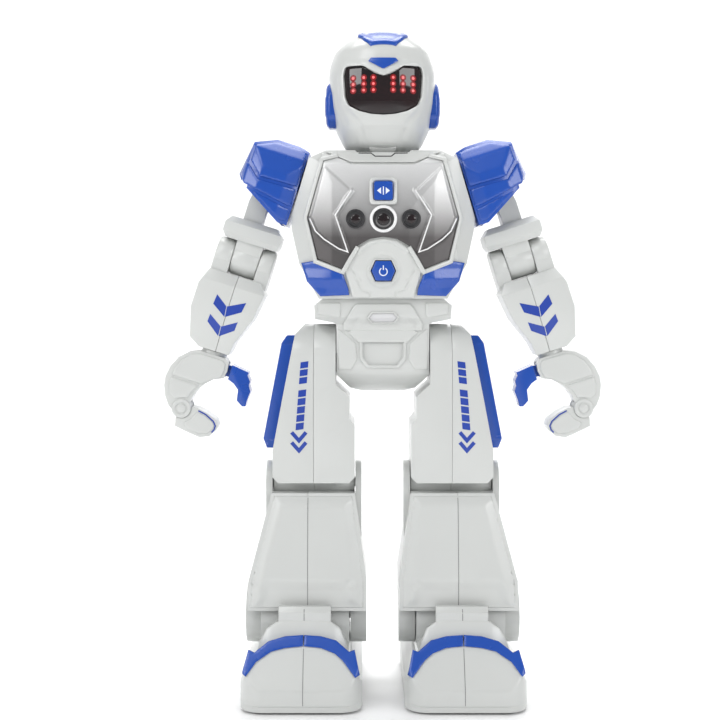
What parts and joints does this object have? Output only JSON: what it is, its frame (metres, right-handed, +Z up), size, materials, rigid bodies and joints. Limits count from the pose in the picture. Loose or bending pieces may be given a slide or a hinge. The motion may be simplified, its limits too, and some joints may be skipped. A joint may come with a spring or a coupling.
{
  "type": "walking humanoid robot toy",
  "caption": "Standing toy robot with visored helmet, turning head, swinging jointed arms, gripping hands, hinged legs and wheeled walking feet.",
  "frame": {"origin": "on the ground midway between the feet, at the centre of the footprint", "axes": "+Z up, front of the robot faces -Y, its own left side is +X"},
  "size_m": [0.1752, 0.08, 0.2641],
  "materials": {
    "white_shell": "satin gloss moulded shell",
    "blue_trim": "glossy royal blue",
    "silver_paint": "silver lacquered plastic",
    "black_gloss": "polished black window",
    "dark_plastic": "fine matt",
    "red_led": "lit diode",
    "circuit_board": "solder mask",
    "battery_wrap": "shrink wrap",
    "steel": "plated steel",
    "brass_gear": "cut brass"
  },
  "bodies": {
    "torso": {"torso_front_shell": "white_shell", "torso_rear_shell": "white_shell", "chest_plate": "silver_paint", "belly_cover": "white_shell", "side_accents": "blue_trim", "sensor_lenses": "black_gloss", "chest_bezels": "silver_paint", "pelvis_housing": "white_shell", "hip_axle": "steel", "main_board": "circuit_board", "battery_pack": "battery_wrap", "battery_cover": "white_shell", "speaker": "dark_plastic", "charging_port": "dark_plastic", "body_screws": "steel"},
    "head": {"head_front_shell": "white_shell", "head_rear_shell": "white_shell", "visor": "black_gloss", "eye_leds": "red_led", "eye_board": "circuit_board", "crown_crest": "blue_trim", "brow_badge": "blue_trim", "ear_pods": "blue_trim", "neck_post": "dark_plastic"},
    "mode_button": {"mode_button": "blue_trim"},
    "power_button": {"power_button": "blue_trim"},
    "power_switch": {"power_switch": "dark_plastic"},
    "shoulder_left": {"shoulder_cap_left": "blue_trim"},
    "upper_arm_left": {"upper_arm_left": "white_shell"},
    "forearm_left": {"forearm_left": "white_shell"},
    "hand_left": {"hand_left": "white_shell"},
    "finger_left": {"finger_left": "white_shell"},
    "thumb_left": {"thumb_left": "blue_trim"},
    "thigh_left": {"thigh_left": "white_shell", "thigh_cover_left": "blue_trim"},
    "shin_left": {"shin_left": "white_shell"},
    "foot_left": {"foot_shell_left": "white_shell", "foot_band_left": "blue_trim", "foot_sole_left": "dark_plastic", "drive_motor_left": "steel"},
    "drive_wheels_left": {"drive_wheels_left": "dark_plastic"},
    "idler_wheels_left": {"idler_wheels_left": "dark_plastic"},
    "motor_pinion_left": {"motor_pinion_left": "brass_gear"},
    "shoulder_right": {"shoulder_cap_right": "blue_trim"},
    "upper_arm_right": {"upper_arm_right": "white_shell"},
    "forearm_right": {"forearm_right": "white_shell"},
    "hand_right": {"hand_right": "white_shell"},
    "finger_right": {"finger_right": "white_shell"},
    "thumb_right": {"thumb_right": "blue_trim"},
    "thigh_right": {"thigh_right": "white_shell", "thigh_cover_right": "blue_trim"},
    "shin_right": {"shin_right": "white_shell"},
    "foot_right": {"foot_shell_right": "white_shell", "foot_band_right": "blue_trim", "foot_sole_right": "dark_plastic", "drive_motor_right": "steel"},
    "drive_wheels_right": {"drive_wheels_right": "dark_plastic"},
    "idler_wheels_right": {"idler_wheels_right": "dark_plastic"},
    "motor_pinion_right": {"motor_pinion_right": "brass_gear"}
  },
  "joints": [
    {"name": "head_turn", "type": "hinge", "parent": "torso", "child": "head", "pos_m": [0, 0, 0.21], "axis": [0, 0, 1], "range_deg": [-45, 45]},
    {"name": "mode_button_press", "type": "slide", "parent": "torso", "child": "mode_button", "axis": [0, 1, 0], "range_m": [0, 0.001], "stiffness_N_per_m": 200},
    {"name": "power_button_press", "type": "slide", "parent": "torso", "child": "power_button", "axis": [0, 1, 0], "range_m": [0, 0.001], "stiffness_N_per_m": 200},
    {"name": "power_switch_slide", "type": "slide", "parent": "torso", "child": "power_switch", "axis": [0, 0, 1], "range_m": [0, 0.003]},
    {"name": "shoulder_swing_left", "type": "hinge", "parent": "torso", "child": "shoulder_left", "pos_m": [0.0346, 0, 0.203], "axis": [-0.9537, 0, -0.3007], "range_deg": [-45, 110]},
    {"name": "arm_lift_left", "type": "hinge", "parent": "shoulder_left", "child": "upper_arm_left", "pos_m": [0.04504, 0, 0.20315], "axis": [0, -1, 0], "range_deg": [0, 40]},
    {"name": "elbow_left", "type": "hinge", "parent": "upper_arm_left", "child": "forearm_left", "pos_m": [0.05532, 0, 0.17252], "axis": [-0.9537, 0, -0.3007], "range_deg": [0, 60]},
    {"name": "wrist_left", "type": "hinge", "parent": "forearm_left", "child": "hand_left", "pos_m": [0.06757, 0, 0.13633], "axis": [-0.3007, 0, 0.9537], "range_deg": [-90, 90]},
    {"name": "finger_left", "type": "hinge", "parent": "hand_left", "child": "finger_left", "pos_m": [0.08073, 0, 0.11322], "axis": [0, 1, 0], "range_deg": [-30, 15]},
    {"name": "thumb_left", "type": "hinge", "parent": "hand_left", "child": "thumb_left", "pos_m": [0.06489, 0, 0.12888], "axis": [0, 1, 0], "range_deg": [-10, 10]},
    {"name": "hip_left", "type": "hinge", "parent": "torso", "child": "thigh_left", "pos_m": [0.0274, 0, 0.133], "axis": [-1, 0, 0], "range_deg": [-15, 15]},
    {"name": "knee_left", "type": "hinge", "parent": "thigh_left", "child": "shin_left", "pos_m": [0.0274, 0, 0.083], "axis": [1, 0, 0], "range_deg": [0, 20]},
    {"name": "ankle_left", "type": "hinge", "parent": "shin_left", "child": "foot_left", "pos_m": [0.0308, 0, 0.03], "axis": [1, 0, 0], "range_deg": [-10, 10]},
    {"name": "drive_wheel_spin_left", "type": "hinge", "parent": "foot_left", "child": "drive_wheels_left", "pos_m": [0.0308, 0.016, 0.008], "axis": [1, 0, 0], "continuous": true},
    {"name": "motor_spin_left", "type": "hinge", "parent": "foot_left", "child": "motor_pinion_left", "pos_m": [0.0343, 0.0095, 0.013], "axis": [1, 0, 0], "continuous": true},
    {"name": "idler_wheel_spin_left", "type": "hinge", "parent": "foot_left", "child": "idler_wheels_left", "pos_m": [0.0308, -0.03, 0.005], "axis": [1, 0, 0], "continuous": true},
    {"name": "shoulder_swing_right", "type": "hinge", "parent": "torso", "child": "shoulder_right", "pos_m": [-0.0346, 0, 0.203], "axis": [-0.9537, 0, 0.3007], "range_deg": [-45, 110]},
    {"name": "arm_lift_right", "type": "hinge", "parent": "shoulder_right", "child": "upper_arm_right", "pos_m": [-0.04504, 0, 0.20315], "axis": [0, 1, 0], "range_deg": [0, 40]},
    {"name": "elbow_right", "type": "hinge", "parent": "upper_arm_right", "child": "forearm_right", "pos_m": [-0.05532, 0, 0.17252], "axis": [-0.9537, 0, 0.3007], "range_deg": [0, 60]},
    {"name": "wrist_right", "type": "hinge", "parent": "forearm_right", "child": "hand_right", "pos_m": [-0.06757, 0, 0.13633], "axis": [0.3007, 0, 0.9537], "range_deg": [-90, 90]},
    {"name": "finger_right", "type": "hinge", "parent": "hand_right", "child": "finger_right", "pos_m": [-0.08073, 0, 0.11322], "axis": [0, -1, 0], "range_deg": [-30, 15]},
    {"name": "thumb_right", "type": "hinge", "parent": "hand_right", "child": "thumb_right", "pos_m": [-0.06489, 0, 0.12888], "axis": [0, -1, 0], "range_deg": [-10, 10]},
    {"name": "hip_right", "type": "hinge", "parent": "torso", "child": "thigh_right", "pos_m": [-0.0274, 0, 0.133], "axis": [-1, 0, 0], "range_deg": [-15, 15]},
    {"name": "knee_right", "type": "hinge", "parent": "thigh_right", "child": "shin_right", "pos_m": [-0.0274, 0, 0.083], "axis": [1, 0, 0], "range_deg": [0, 20]},
    {"name": "ankle_right", "type": "hinge", "parent": "shin_right", "child": "foot_right", "pos_m": [-0.0308, 0, 0.03], "axis": [1, 0, 0], "range_deg": [-10, 10]},
    {"name": "drive_wheel_spin_right", "type": "hinge", "parent": "foot_right", "child": "drive_wheels_right", "pos_m": [-0.0308, 0.016, 0.008], "axis": [1, 0, 0], "continuous": true},
    {"name": "motor_spin_right", "type": "hinge", "parent": "foot_right", "child": "motor_pinion_right", "pos_m": [-0.0343, 0.0095, 0.013], "axis": [1, 0, 0], "continuous": true},
    {"name": "idler_wheel_spin_right", "type": "hinge", "parent": "foot_right", "child": "idler_wheels_right", "pos_m": [-0.0308, -0.03, 0.005], "axis": [1, 0, 0], "continuous": true}
  ],
  "couplings": [
    {"joint": "motor_spin_left", "follows": "drive_wheel_spin_left", "ratio": -3},
    {"joint": "motor_spin_right", "follows": "drive_wheel_spin_right", "ratio": -3}
  ]
}
